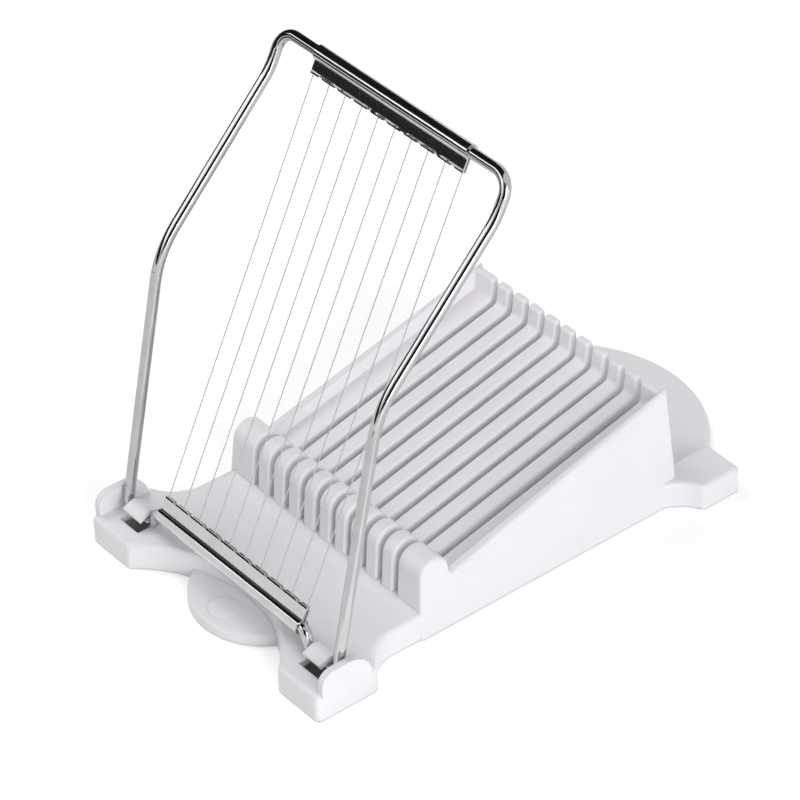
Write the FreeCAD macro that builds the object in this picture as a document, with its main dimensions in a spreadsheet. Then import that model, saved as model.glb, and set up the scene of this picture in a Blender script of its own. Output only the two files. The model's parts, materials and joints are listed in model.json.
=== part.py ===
import FreeCAD, Part
import math
import os
import re
import Sketcher

Vector = FreeCAD.Vector

# Driving dimensions in millimetres and degrees.
# Heights are above the table; "setback" is measured from the front face of the front feet.
SIZES = [
    ("base_length", 188.0),
    ("base_width", 111.6),
    ("deck_height", 9.0),
    ("skin", 2.2),
    ("soft_edge", 1.5),
    ("foot_corner", 2.0),
    ("waist_inset", 0.8),
    ("front_foot_depth", 22.5),
    ("bay_half_width", 37.0),
    ("bay_depth", 16.8),
    ("cove_radius", 13.5),
    ("post_setback", 45.7),
    ("tray_width", 94.4),
    ("tray_length", 102.6),
    ("tray_draft", 4.0),
    ("tray_wall", 4.5),
    ("wall_edge", 1.2),
    ("sill_rise", 0.5),
    ("sill_depth", 3.6),
    ("sill_slope", 1.4),
    ("hump_radius", 5.5),
    ("hump_height", 26.4),
    ("wall_front_height", 18.0),
    ("wall_back_height", 42.9),
    ("rib_front_height", 13.7),
    ("rib_back_height", 34.1),
    ("rib_length", 83.8),
    ("rib_edge", 0.8),
    ("rib_core_width", 2.3),
    ("post_fillet", 2.0),
    ("tooth_height", 41.3),
    ("tooth_lean", 0.8),
    ("tooth_fillet", 2.0),
    ("crest_rim", 1.0),
    ("slot_width", 2.4),
    ("rear_foot_reach", 165.9),
    ("rear_foot_depth", 15.3),
    ("rear_foot_inner", 40.0),
    ("rear_cove_radius", 15.0),
    ("rear_plate_radius", 45.8),
    ("rear_plate_thickness", 2.8),
    ("tab_radius", 24.0),
    ("tab_setback", 0.5),
    ("tab_thickness", 3.5),
    ("button_radius", 5.0),
    ("button_rise", 0.5),
    ("button_setback", 8.2),
    ("button_rim", 0.4),
    ("plate_rim", 1.0),
    ("ear_thickness", 2.2),
    ("ear_height", 16.6),
    ("ear_front_round", 4.5),
    ("ear_back_round", 8.5),
    ("ear_back_run", 9.0),
    ("hinge_setback", 11.1),
    ("hook_inner", 40.1),
    ("hook_outer", 48.4),
    ("hook_thickness", 1.5),
    ("hook_heel", 0.8),
    ("hook_dip", 40.0),
    ("hook_lean", 25.0),
    ("hook_tongue", 3.1),
    ("window_margin", 0.5),
    ("window_reach", 5.1),
    ("rod_diameter", 3.6),
    ("rod_lift", 0.2),
    ("running_clearance", 0.05),
    ("leg_half_span", 51.3),
    ("leg_bow_reach", 84.3),
    ("leg_bow_rise", 21.3),
    ("leg_top_reach", 144.5),
    ("tight_bend", 2.7),
    ("corner_bend", 6.0),
    ("bow_bend", 34.0),
    ("neck_bend", 25.0),
    ("crank_inner", 35.8),
    ("crank_outer", 38.2),
    ("rod_joint_gap", 0.3),
    ("wire_count", 10.0),
    ("wire_pitch", 7.5),
    ("wire_diameter", 0.35),
    ("wire_start", 11.5),
    ("wire_span", 139.4),
    ("wire_rise", 1.9),
    ("wire_grip", 4.0),
    ("strip_thickness", 0.6),
    ("wire_clearance", 0.02),
    ("clip_reach", 6.5),
    ("clip_overhang", 0.65),
    ("scallop_radius", 1.3),
    ("scallop_depth", 0.45),
    ("rest_angle", 64.0),
]

doc = FreeCAD.newDocument("wire_slicer")
sheet = doc.addObject("Spreadsheet::Sheet", "sizes")
for row, (name, value) in enumerate(SIZES, start=1):
    sheet.set("A%d" % row, name)
    sheet.set("B%d" % row, str(value))
    sheet.setAlias("B%d" % row, name)
doc.recompute()


def size(name):
    """Reads one driving dimension."""
    return float(sheet.get(name))


def bound(text):
    """Puts the sheet's name in front of every dimension that an expression uses."""
    return re.sub(r"[a-z_]+", lambda word: PREFIX.get(word.group(), word.group()), text)


PREFIX = {name: "sizes." + name for name, value in SIZES}


def value_of(text):
    """Works out an expression from the sheet."""
    result = sheet.evalExpression(bound(text))
    return float(getattr(result, "Value", result))


# Expressions that several features share. All places are in the frame of the whole part:
# X across, Y from front to back, Z up, with the origin under the middle.
FRONT = "( 0 - base_length / 2 )"
POST = "( post_setback - base_length / 2 )"
TRAY_BACK = "( post_setback + tray_length - base_length / 2 )"
HUMP_BASE = "( hump_height - hump_radius )"
HUMP_MID = "( %s + ( hump_radius + %s * sin( tray_draft ) ) / cos( tray_draft ) )" % (POST, HUMP_BASE)
HUMP_BACK = "( %s + hump_radius )" % HUMP_MID
TOOTH = "( %s + rib_length )" % HUMP_BACK
SILL_TOP = "( deck_height + sill_rise )"
DECK_BACK = "( %s - skin )" % TRAY_BACK
REAR_FOOT_BACK = "( rear_foot_reach - base_length / 2 )"
HINGE_Y = "( hinge_setback - base_length / 2 )"
HINGE_Z = "( deck_height + rod_lift + rod_diameter / 2 )"
SEAT = "( rod_diameter / 2 + running_clearance )"
HOOK_ROOT = "( %s + %s * sin( hook_dip ) )" % (HINGE_Y, SEAT)
RIB_WIDTH = "( wire_pitch - slot_width )"


def sketch_on(body, name, role, offset=None):
    """Starts a sketch on one of the body's own origin planes."""
    sketch = body.newObject("Sketcher::SketchObject", name)
    plane = [item for item in body.Origin.OriginFeatures if item.Role == role][0]
    sketch.AttachmentSupport = [(plane, "")]
    sketch.MapMode = "FlatFace"
    if offset:
        sketch.setExpression("AttachmentOffset.Base.z", bound(offset))
    return sketch


def drive(sketch, constraint, text):
    """Adds a constraint and binds its value to the sheet."""
    index = sketch.addConstraint(constraint)
    sketch.setExpression("Constraints[%d]" % index, bound(text))


def arc_centre(start, end, radius, turn):
    """Centre of the shorter arc from start to end that turns left or right."""
    chord = end - start
    half = chord.Length / 2
    side = Vector(-chord.y, chord.x, 0).normalize()
    reach = math.sqrt(max(radius * radius - half * half, 0.0))
    middle = (start + end) * 0.5
    return middle + side * (reach if turn == "left" else -reach)


def outline(sketch, steps):
    """Draws a closed loop. Each step is (x, y) for a line to the next point,
    or (x, y, radius, turn) for an arc to it."""
    points = [Vector(value_of(step[0]), value_of(step[1]), 0) for step in steps]
    ends = []
    for index, step in enumerate(steps):
        start = points[index]
        end = points[(index + 1) % len(points)]
        if len(step) == 2:
            geometry = sketch.addGeometry(Part.LineSegment(start, end))
            ends.append((geometry, 1, 2))
            continue
        radius = value_of(step[2])
        centre = arc_centre(start, end, radius, step[3])
        first, last = (start, end) if step[3] == "left" else (end, start)
        from_angle = math.atan2(first.y - centre.y, first.x - centre.x)
        to_angle = math.atan2(last.y - centre.y, last.x - centre.x)
        circle = Part.Circle(centre, Vector(0, 0, 1), radius)
        geometry = sketch.addGeometry(Part.ArcOfCircle(circle, from_angle, to_angle))
        ends.append((geometry, 1, 2) if step[3] == "left" else (geometry, 2, 1))
        drive(sketch, Sketcher.Constraint("Radius", geometry, radius), step[2])
    for index, step in enumerate(steps):
        geometry, begin, finish = ends[index]
        before = ends[index - 1]
        sketch.addConstraint(Sketcher.Constraint("Coincident", before[0], before[2], geometry, begin))
        point = points[index]
        drive(sketch, Sketcher.Constraint("DistanceX", -1, 1, geometry, begin, point.x), step[0])
        drive(sketch, Sketcher.Constraint("DistanceY", -1, 1, geometry, begin, point.y), step[1])


def box_outline(sketch, left, right, near, far):
    """Draws a rectangle."""
    outline(sketch, [(left, near), (right, near), (right, far), (left, far)])


def ring(sketch, x, y, radius):
    """Draws a circle."""
    centre = Vector(value_of(x), value_of(y), 0)
    geometry = sketch.addGeometry(Part.Circle(centre, Vector(0, 0, 1), value_of(radius)))
    drive(sketch, Sketcher.Constraint("DistanceX", -1, 1, geometry, 3, centre.x), x)
    drive(sketch, Sketcher.Constraint("DistanceY", -1, 1, geometry, 3, centre.y), y)
    drive(sketch, Sketcher.Constraint("Radius", geometry, value_of(radius)), radius)


def pad(body, sketch, name, length, both_ways=False):
    """Adds material from a sketch."""
    feature = body.newObject("PartDesign::Pad", name)
    feature.Profile = sketch
    feature.setExpression("Length", bound(length))
    feature.Midplane = both_ways
    return feature


def pocket(body, sketch, name, length, both_ways=False, reverse=False):
    """Takes material away from a sketch."""
    feature = body.newObject("PartDesign::Pocket", name)
    feature.Profile = sketch
    feature.setExpression("Length", bound(length))
    feature.Midplane = both_ways
    feature.Reversed = reverse
    return feature


def tapered_block(body, name, half_width, near, far, height, draft):
    """Adds a block that stands on the table and leans in on all four sides."""
    block = body.newObject("PartDesign::AdditiveWedge", name)
    plane = [item for item in body.Origin.OriginFeatures if item.Role == "XZ_Plane"][0]
    block.AttachmentSupport = [(plane, "")]
    block.MapMode = "FlatFace"
    lean = "%s * tan( %s )" % (height, draft)
    limits = {
        "Xmin": "0 - %s" % half_width,
        "Xmax": half_width,
        "Ymin": "0",
        "Ymax": height,
        "Zmin": "0 - %s" % far,
        "Zmax": "0 - %s" % near,
        "X2min": "%s - %s" % (lean, half_width),
        "X2max": "%s - %s" % (half_width, lean),
        "Z2min": "%s - %s" % (lean, far),
        "Z2max": "0 - %s - %s" % (near, lean),
    }
    for limit, text in limits.items():
        setattr(block, limit, value_of(text))
        block.setExpression(limit, bound(text))
    body.Tip = block
    return block


def row_of(body, features, name, count, pitch):
    """Repeats features along X."""
    feature = body.newObject("PartDesign::LinearPattern", name)
    feature.Originals = features
    axis = [item for item in body.Origin.OriginFeatures if item.Role == "X_Axis"][0]
    feature.Direction = (axis, [""])
    feature.setExpression("Length", bound("( %s - 1 ) * %s" % (count, pitch)))
    feature.setExpression("Occurrences", bound(count))
    body.Tip = feature
    return feature


def mirror(body, features, name):
    """Repeats features on the other side of the middle plane."""
    feature = body.newObject("PartDesign::Mirrored", name)
    feature.Originals = features
    plane = [item for item in body.Origin.OriginFeatures if item.Role == "YZ_Plane"][0]
    feature.MirrorPlane = (plane, [""])
    body.Tip = feature
    return feature


def soften(body, name, radius, wanted):
    """Rounds the edges of the latest feature that the test picks out."""
    doc.recompute()
    base = body.Tip
    names = ["Edge%d" % number for number, edge in enumerate(base.Shape.Edges, start=1) if wanted(edge)]
    feature = body.newObject("PartDesign::Fillet", name)
    feature.Base = (base, names)
    feature.setExpression("Radius", bound(radius))
    return feature


def cove_run(radius):
    """Length along Y of a cove that leaves the waist smoothly and ends at the side of a foot."""
    flare = "( base_width / 2 - tray_width / 2 + waist_inset )"
    return "sqrt( 2 * %s * %s - %s * %s )" % (radius, flare, flare, flare)


def plan_steps(inset, corner=None):
    """Plan of the base from the right front foot round to the left, moved in by an inset."""
    wall = "( base_width / 2 - %s )" % inset
    waist = "( tray_width / 2 - waist_inset - %s )" % inset
    near = "( %s + %s )" % (FRONT, inset)
    far = "( %s - %s )" % (REAR_FOOT_BACK, inset)
    heel = "( rear_foot_inner + %s )" % inset
    bay = "( ( bay_half_width * bay_half_width + bay_depth * bay_depth ) / ( 2 * bay_depth ) + %s )" % inset
    toe = "( bay_half_width + %s )" % inset
    cove = "( cove_radius + %s )" % inset
    cove_end = "( %s + front_foot_depth + %s )" % (FRONT, cove_run("cove_radius"))
    foot_end = "( %s - %s )" % (cove_end, cove_run(cove))
    heel_radius = "( rear_cove_radius + %s )" % inset
    heel_cove = "( %s - rear_foot_depth - %s )" % (REAR_FOOT_BACK, cove_run("rear_cove_radius"))
    heel_start = "( %s + %s )" % (heel_cove, cove_run(heel_radius))
    back = "( %s - %s )" % (DECK_BACK, inset)
    front_corner = [(wall, near)]
    rear_corner = [(wall, far)]
    if corner:
        front_corner = [(wall + " - " + corner, near, corner, "left"), (wall, near + " + " + corner)]
        rear_corner = [(wall, far + " - " + corner, corner, "left"), (wall + " - " + corner, far)]
    right = [(toe, near)] + front_corner
    right += [(wall, foot_end, cove, "right"), (waist, cove_end)]
    right += [(waist, heel_cove, heel_radius, "right"), (wall, heel_start)]
    right += rear_corner
    right += [(heel, far), (heel, back)]
    return right + mirrored(right, bay)


def mirrored(right, closing_radius):
    """The same run of steps on the left, walked backwards, ending with the arc that closes the loop."""
    left = []
    for index in range(len(right) - 1, -1, -1):
        arc = right[index - 1][2:] if index else (closing_radius, "right")
        left.append(("0 - ( %s )" % right[index][0], right[index][1]) + arc)
    return left


def build_base():
    """The white moulding: deck, feet, walls, ribs, hooks, ears and the two round plates."""
    body = doc.addObject("PartDesign::Body", "base_tray")
    body.Label = "base_tray"
    build_deck(body)
    build_tray(body)
    build_round_plates(body)
    build_hinge_seats(body)
    hollow_underside(body)
    return body


def build_deck(body):
    """Deck and feet with rounded corners and top edges."""
    sketch = sketch_on(body, "deck_plan", "XY_Plane")
    outline(sketch, plan_steps("0", "foot_corner"))
    pad(body, sketch, "deck", "deck_height")
    toe = Vector(size("bay_half_width"), value_of(FRONT), 0)
    heel = Vector(size("rear_foot_inner"), value_of(REAR_FOOT_BACK), 0)
    flank = size("base_width") / 2
    foot = value_of(FRONT + " + foot_corner")
    back_foot = value_of(REAR_FOOT_BACK + " - foot_corner")

    def upright_corner(edge):
        box = edge.BoundBox
        if max(box.XLength, box.YLength) > 0.01:
            return False
        place = Vector(abs(box.Center.x), box.Center.y, 0)
        on_flank = abs(place.x - flank) < 0.01 and foot + 0.01 < place.y < back_foot - 0.01
        return on_flank or min((place - toe).Length, (place - heel).Length) < 0.01

    soften(body, "upright_corners", "foot_corner", upright_corner)
    top = size("deck_height")
    back = value_of(DECK_BACK)

    def deck_rim(edge):
        hidden = edge.BoundBox.YLength < 0.01 and abs(edge.BoundBox.Center.y - back) < 0.01
        return edge.BoundBox.ZMin > top - 0.01 and not hidden

    soften(body, "deck_rim", "soft_edge", deck_rim)


def along_x(edge, y, z):
    """True for an edge that runs across the part at this place."""
    box = edge.BoundBox
    flat = box.YLength < 0.01 and box.ZLength < 0.01
    return flat and abs(box.Center.y - y) < 0.05 and abs(box.Center.z - z) < 0.05


def build_tray(body):
    """Sill, walls, humped posts, ribs and teeth, with a slot for each wire."""
    sketch = sketch_on(body, "sill_profile", "YZ_Plane")
    outline(sketch, [
        (POST + " - sill_depth", "0"),
        (TRAY_BACK + " - soft_edge", "0"),
        (TRAY_BACK + " - soft_edge", SILL_TOP),
        (POST + " - sill_depth + sill_slope", SILL_TOP),
        (POST + " - sill_depth", "deck_height"),
    ])
    pad(body, sketch, "sill", "tray_width - 4 * soft_edge", both_ways=True)

    tall = "( wall_back_height + hump_height )"
    tapered_block(body, "tray_block", "tray_width / 2", POST, TRAY_BACK, tall, "tray_draft")

    sky = "2 * " + tall
    slope = "( ( wall_back_height - wall_front_height ) / ( %s - %s ) )" % (TRAY_BACK, HUMP_BACK)
    hump_edge = HUMP_BASE + " + hump_radius * sin( tray_draft )"
    sketch = sketch_on(body, "wall_profile", "YZ_Plane")
    outline(sketch, [
        (POST + " - sill_depth", hump_edge),
        (HUMP_MID + " - hump_radius * cos( tray_draft )", hump_edge, "hump_radius", "right"),
        (HUMP_MID, "hump_height", "hump_radius", "right"),
        (HUMP_BACK, HUMP_BASE),
        (HUMP_BACK, "wall_front_height"),
        (TRAY_BACK + " + sill_depth", "wall_back_height + sill_depth * " + slope),
        (TRAY_BACK + " + sill_depth", sky),
        (POST + " - sill_depth", sky),
    ])
    pocket(body, sketch, "wall_tops", "2 * tray_width", both_ways=True)
    hump_y, wall_z = value_of(HUMP_BACK), size("wall_front_height")
    soften(body, "wall_dips", "post_fillet", lambda edge: along_x(edge, hump_y, wall_z))

    sketch = sketch_on(body, "tray_profile", "YZ_Plane")
    outline(sketch, [
        (HUMP_BACK, sky),
        (HUMP_BACK, "rib_front_height"),
        (TOOTH, "rib_back_height"),
        (TOOTH + " + tooth_lean", "tooth_height"),
        (TRAY_BACK + " + sill_depth", "tooth_height"),
        (TRAY_BACK + " + sill_depth", sky),
    ])
    pocket(body, sketch, "tray_hollow", "tray_width - 2 * tray_wall", both_ways=True)
    floor_z = size("rib_front_height")
    tooth_y, tooth_z = value_of(TOOTH), size("rib_back_height")
    soften(body, "post_feet", "post_fillet", lambda edge: along_x(edge, hump_y, floor_z))
    soften(body, "tooth_feet", "tooth_fillet", lambda edge: along_x(edge, tooth_y, tooth_z))
    crest_z = size("tooth_height")
    crest_front = value_of(TOOTH + " + tooth_lean")
    crest_back = value_of(TRAY_BACK + " - tooth_height * tan( tray_draft )")
    soften(body, "tooth_crests", "crest_rim",
           lambda edge: along_x(edge, crest_front, crest_z) or along_x(edge, crest_back, crest_z))

    inner = value_of("tray_width / 2 - tray_wall")
    low = value_of(SILL_TOP)

    def outer_rim(edge):
        box = edge.BoundBox
        outside = min(abs(box.XMin), abs(box.XMax)) > inner + 0.5 and box.XMin * box.XMax > 0
        return outside and box.ZMax > low + 1.0

    soften(body, "wall_rim", "wall_edge", outer_rim)

    sketch = sketch_on(body, "slot_plan", "XY_Plane", SILL_TOP)
    first = "( 0 - wire_pitch * ( wire_count - 1 ) / 2 )"
    box_outline(sketch, first + " - slot_width / 2", first + " + slot_width / 2",
                POST + " - sill_depth", TRAY_BACK + " + sill_depth")
    slot = pocket(body, sketch, "slot", sky, reverse=True)
    row_of(body, [slot], "slots", "wire_count", "wire_pitch")

    pitch = size("wire_pitch")
    half_count = (size("wire_count") - 1) / 2
    half_slot = size("slot_width") / 2

    def slot_lip(edge):
        box = edge.BoundBox
        if box.XLength > 0.01 or box.ZMax < low + 0.5:
            return False
        nearest = round(box.Center.x / pitch + half_count) - half_count
        return abs(abs(box.Center.x - nearest * pitch) - half_slot) < 0.01

    soften(body, "slot_lips", "rib_edge", slot_lip)


def disc(body, name, y, radius, thickness, rim):
    """Adds a flat round plate on the table with a rounded top edge."""
    sketch = sketch_on(body, name + "_section", "XZ_Plane", "0 - ( %s )" % y)
    outline(sketch, [
        ("0", "0"),
        (radius, "0"),
        (radius, "%s - %s" % (thickness, rim), rim, "left"),
        ("%s - %s" % (radius, rim), thickness),
        ("0", thickness),
    ])
    feature = body.newObject("PartDesign::Revolution", name)
    feature.Profile = sketch
    feature.ReferenceAxis = (sketch, ["V_Axis"])
    feature.Angle = 360.0
    return feature


def build_round_plates(body):
    """Half-round plate behind, and thumb tab with its button in front."""
    disc(body, "rear_plate", "base_length / 2 - rear_plate_radius", "rear_plate_radius",
         "rear_plate_thickness", "plate_rim")
    disc(body, "thumb_tab", FRONT + " + tab_setback + tab_radius", "tab_radius", "tab_thickness", "plate_rim")
    disc(body, "button", FRONT + " + button_setback", "button_radius",
         "( tab_thickness + button_rise )", "button_rim")


def build_hinge_seats(body):
    """Outer ears, and hooks that hold the rod's journals down on the front feet."""
    sketch = sketch_on(body, "ear_profile", "YZ_Plane", "base_width / 2 - ear_thickness")
    near = "( %s + foot_corner )" % FRONT
    far = "( %s + front_foot_depth - foot_corner )" % FRONT
    outline(sketch, [
        (near, "deck_height / 2"),
        (far, "deck_height / 2"),
        (far, "deck_height", "ear_back_round", "left"),
        (far + " - ear_back_run", "ear_height"),
        (near + " + ear_front_round", "ear_height", "ear_front_round", "left"),
        (near, "ear_height - ear_front_round"),
    ])
    ear = pad(body, sketch, "ear", "ear_thickness")
    mirror(body, [ear], "ears")

    sketch = sketch_on(body, "hook_profile", "YZ_Plane", "hook_inner")
    outer = "( %s + hook_thickness )" % SEAT
    sunk = "deck_height - skin / 2"
    crown_y = HINGE_Y + " - %s * sin( hook_lean )"
    crown_z = HINGE_Z + " + %s * cos( hook_lean )"
    tongue_y = " - hook_tongue * cos( hook_lean )"
    tongue_z = " - hook_tongue * sin( hook_lean )"
    outline(sketch, [
        (HINGE_Y + " + " + outer + " + hook_heel", sunk),
        (HINGE_Y + " + " + outer, HINGE_Z, outer, "left"),
        (crown_y % outer, crown_z % outer),
        (crown_y % outer + tongue_y, crown_z % outer + tongue_z),
        (crown_y % SEAT + tongue_y, crown_z % SEAT + tongue_z),
        (crown_y % SEAT, crown_z % SEAT, SEAT, "right"),
        (HINGE_Y + " + " + SEAT, HINGE_Z, SEAT, "right"),
        (HOOK_ROOT, HINGE_Z + " - %s * cos( hook_dip )" % SEAT),
        (HOOK_ROOT, sunk),
    ])
    hook = pad(body, sketch, "hook", "hook_outer - hook_inner")
    mirror(body, [hook], "hooks")


def core_steps():
    """Side profile of the hollow inside a rib or an end wall, one skin below the top."""
    start = "( %s + hump_radius - skin )" % POST
    hump_core = "( %s - skin / 2 )" % HUMP_BACK
    fall = "( ( rib_back_height - rib_front_height ) / rib_length )"
    return [
        (start, "0"),
        (start, HUMP_BASE),
        (hump_core + " - skin", HUMP_BASE),
        (hump_core, "rib_front_height - skin"),
        (TOOTH + " - skin", "rib_back_height - skin - skin * " + fall),
        (TOOTH + " - skin", "0"),
    ]


def hollow_underside(body):
    """Opens the moulding from below: windows under the hooks, the deck, the ribs and the end walls."""
    sketch = sketch_on(body, "hook_window_plan", "XY_Plane")
    box_outline(sketch, "hook_inner - window_margin", "hook_outer + window_margin",
                HINGE_Y + " - window_reach", HOOK_ROOT)
    window = pocket(body, sketch, "hook_window", SILL_TOP, reverse=True)
    mirror(body, [window], "hook_windows")

    sketch = sketch_on(body, "deck_core_plan", "XY_Plane")
    outline(sketch, plan_steps("skin"))
    pocket(body, sketch, "deck_core", "deck_height - skin", reverse=True)

    first = "( 0 - wire_pitch * ( wire_count - 2 ) / 2 )"
    sketch = sketch_on(body, "rib_core_profile", "YZ_Plane", first)
    outline(sketch, core_steps())
    core = pocket(body, sketch, "rib_core", "rib_core_width", both_ways=True)
    row_of(body, [core], "rib_cores", "( wire_count - 1 )", "wire_pitch")

    inner = "( wire_pitch * ( wire_count - 1 ) / 2 + slot_width / 2 + %s / 2 - rib_core_width / 2 )" % RIB_WIDTH
    outer = "( tray_width / 2 - skin - wall_back_height * tan( tray_draft ) / 2 )"
    sketch = sketch_on(body, "wall_core_profile", "YZ_Plane", inner)
    outline(sketch, core_steps())
    core = pocket(body, sketch, "wall_core", outer + " - " + inner, reverse=True)
    mirror(body, [core], "wall_cores")


def rounded_path(points, radii):
    """Joins points with straight lines and a bend of its own radius at each inner point."""
    edges = []
    start = points[0]
    for index in range(1, len(points) - 1):
        corner = points[index]
        inward = (corner - points[index - 1]).normalize()
        outward = (points[index + 1] - corner).normalize()
        turn = inward.getAngle(outward)
        reach = radii[index - 1] * math.tan(turn / 2)
        enter = corner - inward * reach
        leave = corner + outward * reach
        bisector = (outward - inward).normalize()
        centre = corner + bisector * (radii[index - 1] / math.cos(turn / 2))
        middle = centre - bisector * radii[index - 1]
        edges.append(Part.makeLine(start, enter))
        edges.append(Part.Arc(enter, middle, leave).toShape())
        start = leave
    edges.append(Part.makeLine(start, points[-1]))
    return Part.Wire(edges)


def hinge_place(reach, rise, turned=0.0):
    """Place on the cutter: reach along the wires and rise above the journals, at the rest angle."""
    angle = math.radians(size("rest_angle"))
    y = value_of(HINGE_Y) + reach * math.cos(angle) - rise * math.sin(angle)
    z = value_of(HINGE_Z) + reach * math.sin(angle) + rise * math.cos(angle)
    turn = FreeCAD.Rotation(Vector(1, 0, 0), size("rest_angle") + turned)
    return FreeCAD.Placement(Vector(0, y, z), turn)


def build_cutter_frame():
    """The bent rod: lower bar, cranks, journals, bowed legs and top bar, with a butt joint in the lower clip."""
    rise = size("wire_rise")
    low = size("wire_start") - size("clip_reach")
    top = size("wire_start") + size("wire_span") + size("clip_reach")
    span = size("leg_half_span")
    half = [
        Vector(size("rod_joint_gap") / 2, low, rise),
        Vector(size("crank_inner"), low, rise),
        Vector(size("crank_outer"), 0, 0),
        Vector(span, 0, 0),
        Vector(span, size("leg_bow_reach"), size("leg_bow_rise")),
        Vector(span, size("leg_top_reach"), rise),
        Vector(span, top, rise),
    ]
    bends = ["tight_bend", "tight_bend", "tight_bend", "bow_bend", "neck_bend", "corner_bend"]
    radii = [size(name) for name in bends]
    points = half + [Vector(-point.x, point.y, point.z) for point in reversed(half)]
    path = rounded_path(points, radii + list(reversed(radii)))
    profile = Part.Wire(Part.makeCircle(size("rod_diameter") / 2, half[0], Vector(1, 0, 0)))
    feature = doc.addObject("Part::Feature", "cutter_frame")
    feature.Label = "cutter_frame"
    feature.Shape = path.makePipeShell([profile], True, False)
    feature.Placement = hinge_place(0, 0)
    return feature


def build_clip(label, reach, turned):
    """Folded strip: a tube round the bar and two flat leaves that grip the wires, scalloped between them."""
    body = doc.addObject("PartDesign::Body", label)
    body.Label = label
    outer = "( %s + strip_thickness )" % SEAT
    gap = "( wire_diameter / 2 + wire_clearance )"
    leaf = "( %s + strip_thickness )" % gap
    outer_start = "sqrt( %s * %s - %s * %s )" % (outer, outer, leaf, leaf)
    inner_start = "sqrt( %s * %s - %s * %s )" % (SEAT, SEAT, gap, gap)
    length = "( wire_pitch * ( wire_count - 1 ) + 2 * clip_overhang )"
    sketch = sketch_on(body, label + "_section", "YZ_Plane")
    outline(sketch, [
        ("clip_reach", leaf),
        (outer_start, leaf, outer, "left"),
        ("0 - " + outer, "0", outer, "left"),
        (outer_start, "0 - " + leaf),
        ("clip_reach", "0 - " + leaf),
        ("clip_reach", "0 - " + gap),
        (inner_start, "0 - " + gap, SEAT, "right"),
        ("0 - " + SEAT, "0", SEAT, "right"),
        (inner_start, gap),
        ("clip_reach", gap),
    ])
    pad(body, sketch, label + "_strip", length, both_ways=True)
    sketch = sketch_on(body, label + "_scallop", "XY_Plane")
    ring(sketch, "0 - wire_pitch * ( wire_count - 2 ) / 2",
         "clip_reach + scallop_radius - scallop_depth", "scallop_radius")
    notch = pocket(body, sketch, label + "_notch", "4 * " + leaf, both_ways=True)
    row_of(body, [notch], label + "_notches", "( wire_count - 1 )", "wire_pitch")
    body.Placement = hinge_place(reach, size("wire_rise"), turned)
    return body


def build_wire(number):
    """One straight wire that reaches into the leaves of both clips."""
    label = "cutting_wire_%02d" % number
    wire = doc.addObject("Part::Cylinder", label)
    wire.Label = label
    wire.setExpression("Radius", bound("wire_diameter / 2"))
    wire.setExpression("Height", bound("wire_span + 2 * wire_grip"))
    place = hinge_place(size("wire_start") - size("wire_grip"), size("wire_rise"), -90.0)
    place.Base.x = (number - 1 - (size("wire_count") - 1) / 2) * size("wire_pitch")
    wire.Placement = place
    return wire


pieces = [build_base(), build_cutter_frame()]
lower_bar = size("wire_start") - size("clip_reach")
upper_bar = size("wire_start") + size("wire_span") + size("clip_reach")
pieces.append(build_clip("lower_wire_clip", lower_bar, 0.0))
pieces.append(build_clip("upper_wire_clip", upper_bar, 180.0))
for number in range(1, int(size("wire_count")) + 1):
    pieces.append(build_wire(number))
doc.recompute()

for item in doc.Objects:
    if "Invalid" in item.State or "Error" in item.State:
        raise RuntimeError("%s did not build" % item.Name)
os.makedirs("parts", exist_ok=True)
for piece in pieces:
    if piece.Shape.isNull() or not piece.Shape.isValid():
        raise RuntimeError("%s has no valid shape" % piece.Label)
    piece.Shape.exportStep("parts/%s.step" % piece.Label)
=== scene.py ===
import json
import math

import bpy
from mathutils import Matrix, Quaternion, Vector

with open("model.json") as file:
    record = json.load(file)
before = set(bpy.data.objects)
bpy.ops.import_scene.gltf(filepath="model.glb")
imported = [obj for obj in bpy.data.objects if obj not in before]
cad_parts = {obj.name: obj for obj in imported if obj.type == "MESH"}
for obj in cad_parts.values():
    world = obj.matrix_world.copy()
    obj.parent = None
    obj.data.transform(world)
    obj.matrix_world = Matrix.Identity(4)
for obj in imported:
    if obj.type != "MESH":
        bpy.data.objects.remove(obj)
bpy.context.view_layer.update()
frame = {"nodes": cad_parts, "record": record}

# Lengths and places are in metres in the part's frame, unless a comment says otherwise.

# Camera, fitted to the photograph, with its lens and sensor in millimetres.
CAMERA_PLACE = Vector((0.7884, -0.6346, 0.8108))
CAMERA_AIM = Vector((0.0, -0.0167, 0.0469))
CAMERA_ROLL = math.radians(-1.709)
CAMERA_LENS = 189.09
CAMERA_SENSOR = 36.0
CAMERA_REACH = 20.0

# Colours and roughness of the floor and of the cards that paint dark reflections and highlights.
WHITE = (1, 1, 1, 1)
FLOOR_COLOUR = (0.88, 0.88, 0.88, 1)
CARD_COLOUR = (0.01, 0.01, 0.01, 1)
STAGE_ROUGHNESS = 0.9

# Light of the white world on surfaces, and the two lamps, with their powers in watts.
WORLD_LIGHT = 0.38
LAMP_AIM = Vector((0.0, 0.0, 0.04))
KEY_PLACE = Vector((1.29, -0.32, 0.51))
KEY_WIDTH = 0.9
KEY_POWER = 11.6
TOP_PLACE = Vector((-0.5, -0.1, 0.74))
TOP_WIDTH = 0.5
TOP_POWER = 2.9

# Floor, with its glow near the object and far away, and the distances between which the glow rises.
FLOOR_HALF = 4.0
FLOOR_HEIGHT = -0.0003
NEAR_GLOW = 0.34
FAR_GLOW = 0.72
GLOW_DISTANCES = (0.25, 1.1)

# Floor under the front feet and deck, which doesn't glow, so it stays dark as painted shade under the base:
# a strip across, less the round bay in front.
COVER_HALF_WIDTH = 0.0555
COVER_MIDDLE = -0.0835
COVER_HALF_DEPTH = 0.010
BAY_CENTRE = (0.0, -0.1263, 0.0)
BAY_RADIUS = 0.0495
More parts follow.
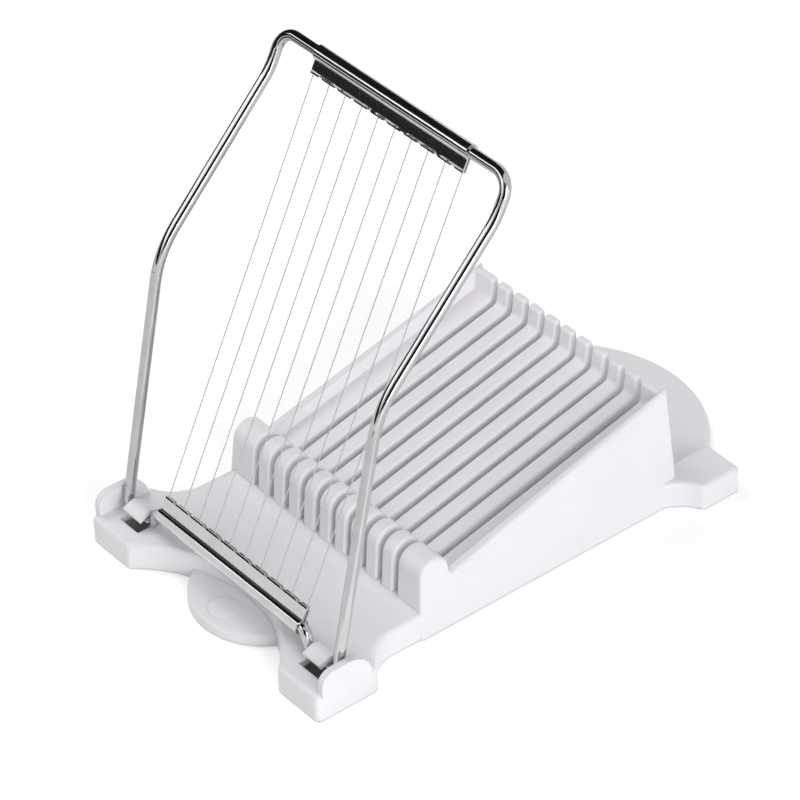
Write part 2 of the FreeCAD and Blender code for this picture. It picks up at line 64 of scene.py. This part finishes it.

# Top of the large dark cards that paint dark reflections, and the glow of the bright ones that paint
# highlights, where 1 is white.
CARD_TOP = 1.3
FRONT_GLOW = 2.1
SIDE_GLOW = 1.7
LOW_GLOW = 1.0
FLOOR_BAND_GLOW = 1.45

# Values of a noise that stand for the low and the high end of what follows it.
NOISE_ENDS = (0.3, 0.7)

# Rays that look for sharp edges to round.
EDGE_SAMPLES = 4

# The cutter's lean, and the stretches along it where the two clips curl towards their free edges.
CUTTER_LEAN = math.radians(64.0)
LOWER_CURL = (-0.0158, -0.0145)
UPPER_CURL = (0.1256, 0.1249)


def add_object(name, data):
    """New object in the scene."""
    made = bpy.data.objects.new(name, data)
    bpy.context.scene.collection.objects.link(made)
    return made


def facing(place, aim):
    """Turn that points a camera or lamp from its place at its aim."""
    return (aim - place).to_track_quat("-Z", "Y")


def add_camera():
    """Camera at the photograph's viewing angle."""
    data = bpy.data.cameras.new("photo_camera")
    data.sensor_width = CAMERA_SENSOR
    data.lens = CAMERA_LENS
    data.clip_end = CAMERA_REACH
    camera = add_object("photo_camera", data)
    camera.location = CAMERA_PLACE
    camera.rotation_mode = "QUATERNION"
    camera.rotation_quaternion = facing(CAMERA_PLACE, CAMERA_AIM) @ Quaternion((0, 0, 1), CAMERA_ROLL)
    bpy.context.scene.camera = camera


class Tree:
    """A node tree with short ways to add nodes to it."""

    def __init__(self, tree):
        self.tree = tree

    def feed(self, socket, value):
        """Links an output to a socket, or sets the socket to a constant."""
        if isinstance(value, bpy.types.NodeSocket):
            self.tree.links.new(value, socket)
        else:
            socket.default_value = value

    def feed_all(self, node, values):
        """Feeds a node's sockets by name, with _ for a space."""
        for name, value in values.items():
            self.feed(node.inputs[name.replace("_", " ")], value)

    def add(self, kind, **values):
        """New node with some of its sockets fed."""
        node = self.tree.nodes.new("ShaderNode" + kind)
        self.feed_all(node, values)
        return node

    def combine(self, operation, *values):
        """Result of a math operation on numbers or outputs."""
        node = self.add("Math")
        node.operation = operation
        for socket, value in zip(node.inputs, values):
            self.feed(socket, value)
        return node.outputs["Value"]

    def map_range(self, value, source, target, interpolation="LINEAR"):
        """Number that crosses the target range as a value crosses the source range."""
        node = self.add("MapRange", Value=value)
        node.interpolation_type = interpolation
        self.feed_all(node, {"From Min": source[0], "From Max": source[1]})
        self.feed_all(node, {"To Min": target[0], "To Max": target[1]})
        return node.outputs["Result"]

    def seen_directly(self):
        """Output that is 1 for camera, glossy and transmission rays and 0 for the light on surfaces."""
        path = self.add("LightPath")
        result = path.outputs["Is Camera Ray"]
        for name in ("Is Glossy Ray", "Is Transmission Ray"):
            result = self.combine("MAXIMUM", result, path.outputs[name])
        return result


class Shader(Tree):
    """A material with a Principled shader, and patterns on the object's own coordinates."""

    def __init__(self, name):
        self.material = bpy.data.materials.new(name)
        self.material.use_nodes = True
        super().__init__(self.material.node_tree)
        self.principled = self.tree.nodes["Principled BSDF"]
        self.place = self.add("TexCoord").outputs["Object"]

    def set(self, **values):
        """Feeds sockets of the Principled shader."""
        self.feed_all(self.principled, values)

    def measure(self, operation, other=(0.0, 0.0, 0.0)):
        """Number from a vector operation on the coordinates and another vector."""
        node = self.add("VectorMath")
        node.operation = operation
        self.feed(node.inputs[0], self.place)
        self.feed(node.inputs[1], other)
        return node.outputs["Value"]

    def stretched(self, scale, turn=0.0):
        """Coordinates scaled by (x, y, z), then turned about X."""
        node = self.add("Mapping", Vector=self.place, Rotation=(turn, 0.0, 0.0), Scale=scale)
        return node.outputs["Vector"]

    def noise(self, scale, detail, coordinates=None):
        """Noise from 0 to 1 with a scale in cycles per metre."""
        node = self.add("TexNoise", Vector=coordinates or self.place, Scale=scale, Detail=detail)
        return node.outputs["Fac"]

    def ramp(self, noise, low, high):
        """Colour that follows a noise from low to high."""
        node = self.add("ValToRGB", Fac=noise)
        for stop, position, colour in zip(node.color_ramp.elements, NOISE_ENDS, (low, high)):
            stop.position = position
            stop.color = colour
        return node.outputs["Color"]

    def spread(self, noise, low, high):
        """Number that follows a noise from low to high."""
        return self.map_range(noise, NOISE_ENDS, (low, high))

    def edge_curl(self, stretch):
        """Height that falls from 1 to 0 over a stretch along the cutter."""
        along = self.measure("DOT_PRODUCT", (0.0, math.cos(CUTTER_LEAN), math.sin(CUTTER_LEAN)))
        return self.map_range(along, stretch, (1.0, 0.0), "SMOOTHSTEP")

    def bump(self, height, depth, strength=1.0, normal=None):
        """Bump of a real depth in metres, on top of another normal where one is given."""
        node = self.add("Bump", Height=height, Distance=depth, Strength=strength)
        if normal is not None:
            self.feed(node.inputs["Normal"], normal)
        return node.outputs["Normal"]

    def soft_edges(self, radius):
        """Normal that rounds sharp edges a little."""
        node = self.add("Bevel", Radius=radius)
        node.samples = EDGE_SAMPLES
        return node.outputs["Normal"]


def white_plastic():
    """Moulded white plastic: faint mottling, soft gloss that varies, slight waviness and fine grain."""
    shader = Shader("white_plastic")
    mottling = shader.noise(scale=45.0, detail=3.0)
    smear = shader.noise(scale=180.0, detail=4.0)
    waves = shader.noise(scale=60.0, detail=1.0)
    grain = shader.noise(scale=2600.0, detail=2.0)
    normal = shader.soft_edges(radius=0.0008)
    normal = shader.bump(waves, depth=0.00006, strength=0.5, normal=normal)
    normal = shader.bump(grain, depth=0.00001, strength=0.35, normal=normal)
    shader.set(
        Base_Color=shader.ramp(mottling, low=(0.838, 0.822, 0.850, 1), high=(0.868, 0.852, 0.880, 1)),
        Roughness=shader.spread(smear, low=0.30, high=0.40),
        IOR=1.50,
        Normal=normal,
    )
    return shader.material


def chromed_rod():
    """Bright plated rod with a faint haze and fine polishing marks."""
    shader = Shader("chromed_rod")
    cloud = shader.noise(scale=120.0, detail=3.0)
    haze = shader.noise(scale=400.0, detail=4.0)
    marks = shader.noise(scale=900.0, detail=2.0)
    shader.set(
        Base_Color=shader.ramp(cloud, low=(0.43, 0.43, 0.44, 1), high=(0.48, 0.48, 0.49, 1)),
        Metallic=1.0,
        Roughness=shader.spread(haze, low=0.04, high=0.08),
        Normal=shader.bump(marks, depth=0.00001, strength=0.25),
    )
    return shader.material


def chromed_strip():
    """Folded plated sheet, uneven, with rolling lines along it and curls towards the clips' free edges."""
    shader = Shader("chromed_strip")
    cloud = shader.noise(scale=150.0, detail=3.0)
    lines = shader.noise(scale=1.0, detail=3.0, coordinates=shader.stretched((60.0, 2400.0, 2400.0)))
    dents = shader.spread(shader.noise(scale=170.0, detail=1.0), low=0.0, high=1.0)
    buckles = shader.noise(scale=130.0, detail=2.0)
    normal = shader.bump(shader.edge_curl(LOWER_CURL), depth=0.0009)
    normal = shader.bump(shader.edge_curl(UPPER_CURL), depth=0.0004, strength=dents, normal=normal)
    normal = shader.bump(buckles, depth=0.0001, strength=0.5, normal=normal)
    normal = shader.bump(lines, depth=0.00001, strength=0.3, normal=normal)
    shader.set(
        Base_Color=shader.ramp(cloud, low=(0.53, 0.53, 0.54, 1), high=(0.59, 0.59, 0.60, 1)),
        Metallic=1.0,
        Roughness=shader.spread(lines, low=0.06, high=0.16),
        Normal=normal,
    )
    return shader.material


def wire_steel():
    """Drawn steel wire with a fine grain."""
    shader = Shader("wire_steel")
    stretched = shader.stretched((6000.0, 6000.0, 60.0), turn=math.radians(26.0))
    grain = shader.noise(scale=1.0, detail=2.0, coordinates=stretched)
    shader.set(
        Base_Color=shader.ramp(grain, low=(0.45, 0.45, 0.46, 1), high=(0.53, 0.53, 0.54, 1)),
        Metallic=1.0,
        Roughness=shader.spread(grain, low=0.36, high=0.46),
    )
    return shader.material


def dress_nodes():
    """Gives every CAD node the material of its slot."""
    finishes = {
        "white_plastic": white_plastic(),
        "chromed_rod": chromed_rod(),
        "chromed_strip": chromed_strip(),
        "wire_steel": wire_steel(),
    }
    slots = {part["node"]: part["material_slot"] for part in frame["record"]["subparts"]}
    for name, node in frame["nodes"].items():
        node.data.materials.clear()
        node.data.materials.append(finishes[slots[name]])


def add_world():
    """Even surroundings that look white and light the object gently."""
    world = bpy.data.worlds.new("studio")
    world.use_nodes = True
    bpy.context.scene.world = world
    tree = Tree(world.node_tree)
    level = tree.map_range(tree.seen_directly(), (0.0, 1.0), (WORLD_LIGHT, 1.0))
    tree.feed_all(world.node_tree.nodes["Background"], {"Color": WHITE, "Strength": level})


def add_plane(name, corners, material):
    """Flat object with four corners."""
    mesh = bpy.data.meshes.new(name)
    mesh.from_pydata(corners, [], [(0, 1, 2, 3)])
    mesh.materials.append(material)
    return add_object(name, mesh)


def standing(near, far, low, high):
    """Corners of an upright card between two places on the floor."""
    return [near + (low,), far + (low,), far + (high,), near + (high,)]


def band(near, far, near_height, far_height):
    """Corners of an upright band between two places in the air, with its height at each."""
    near_top = near[:2] + (near[2] + near_height,)
    far_top = far[:2] + (far[2] + far_height,)
    return [near, far, far_top, near_top]


def lying(places, height):
    """Corners of a level plane over four places."""
    return [place + (height,) for place in places]


def outside_painted_shade(shader):
    """Output that is 0 on the floor under the front feet and deck, where the glow is left out as painted
    shade, and 1 elsewhere.
    """
    parts = shader.add("SeparateXYZ", Vector=shader.place)
    across = shader.combine("COMPARE", parts.outputs["X"], 0.0, COVER_HALF_WIDTH)
    along = shader.combine("COMPARE", parts.outputs["Y"], COVER_MIDDLE, COVER_HALF_DEPTH)
    behind = shader.combine("GREATER_THAN", shader.measure("DISTANCE", BAY_CENTRE), BAY_RADIUS)
    painted_shade = shader.combine("MULTIPLY", shader.combine("MULTIPLY", across, along), behind)
    return shader.combine("SUBTRACT", 1.0, painted_shade)


def add_floor():
    """Pale floor that keeps the shadow, with a glow that rises away from the lamps to keep it white, left
    out under the front feet and deck as painted shade.
    """
    shader = Shader("pale_floor")
    glow = shader.map_range(shader.measure("LENGTH"), GLOW_DISTANCES, (NEAR_GLOW, FAR_GLOW))
    glow = shader.combine("MULTIPLY", shader.seen_directly(), glow)
    # The glow is left out on the floor under the front feet and deck: painted shade under the base.
    glow = shader.combine("MULTIPLY", glow, outside_painted_shade(shader))
    shader.set(Base_Color=FLOOR_COLOUR, Roughness=STAGE_ROUGHNESS)
    shader.set(Emission_Color=WHITE, Emission_Strength=glow)
    half = FLOOR_HALF
    corners = lying([(-half, -half), (half, -half), (half, half), (-half, half)], FLOOR_HEIGHT)
    floor = add_plane("floor", corners, shader.material)


def add_lamp(name, place, width, power):
    """Large soft square lamp that faces the object."""
    data = bpy.data.lights.new(name, "AREA")
    data.shape = "SQUARE"
    data.size = width
    data.energy = power
    lamp = add_object(name, data)
    lamp.location = place
    lamp.rotation_mode = "QUATERNION"
    lamp.rotation_quaternion = facing(place, LAMP_AIM)
    return lamp


def add_lamps():
    """Large key lamp at the right and a weaker one above the left, which no surface mirrors."""
    add_lamp("key_lamp", KEY_PLACE, KEY_WIDTH, KEY_POWER)
    top = add_lamp("top_lamp", TOP_PLACE, TOP_WIDTH, TOP_POWER)
    top.visible_glossy = False


def add_card(name, corners, glow=0.0):
    """Dark or bright card that only reflections show, painting a dark reflection or a highlight; it takes
    no light away.
    """
    shader = Shader(name)
    shader.set(Base_Color=CARD_COLOUR, Roughness=STAGE_ROUGHNESS)
    shader.set(Emission_Color=WHITE, Emission_Strength=glow)
    card = add_plane(name, corners, shader.material)
    card.visible_camera = False
    card.visible_diffuse = False
    card.visible_shadow = False
    card.visible_transmission = False


def add_painted_dark_reflections():
    """Dark cards at the front and left, beside the camera, overhead and on the floor at the front left,
    which paint dark reflections.
    """
    front = (0.15, -1.05)
    left = (-1.05, -0.15)
    back = (-0.75, 0.75)
    overhead = [(-1.1, -1.1), (0.2, -1.1), (0.2, 0.8), (-1.1, 0.8)]
    front_left = [(0.438, -0.666), front, left, (-0.762, 0.234)]
    add_card("front_card", standing(front, left, low=0.10, high=CARD_TOP))
    add_card("left_card", standing(left, back, low=0.14, high=CARD_TOP))
    add_card("camera_card", standing((0.93, -0.46), (0.30, -0.88), low=0.20, high=CARD_TOP))
    add_card("top_card", lying(overhead, CARD_TOP))
    add_card("floor_card", lying(front_left, height=0.002))


def add_painted_highlights():
    """Glowing cards, no lamps, that paint highlights in reflections: a bent band at the front left, two
    bands at the right and two low cards by the legs.
    """
    bend = (-0.39, -0.39, 0.37)
    front = (0.03, -0.584, 0.20)
    left = (-0.54, -0.32, 0.32)
    front_right = [(0.03, -0.15), (0.30, -0.13), (0.30, -0.06), (0.075, -0.06)]
    add_card("front_band", band(front, bend, near_height=0.536, far_height=0.14), FRONT_GLOW)
    add_card("left_band", band(bend, left, near_height=0.14, far_height=0.14), FRONT_GLOW)
    add_card("right_band", standing((1.0, -0.25), (1.0, 0.45), low=0.0, high=0.45), SIDE_GLOW)
    add_card("low_card", standing((0.100, -0.275), (-0.212, -0.025), low=0.0, high=0.080), LOW_GLOW)
    add_card("side_band", standing((0.45, -0.42), (0.45, 0.10), low=0.0, high=0.12), SIDE_GLOW)
    add_card("floor_band", lying(front_right, height=0.0015), FLOOR_BAND_GLOW)


bpy.context.scene.view_settings.view_transform = "Standard"
add_camera()
dress_nodes()
add_world()
add_floor()
add_lamps()
add_painted_dark_reflections()
add_painted_highlights()
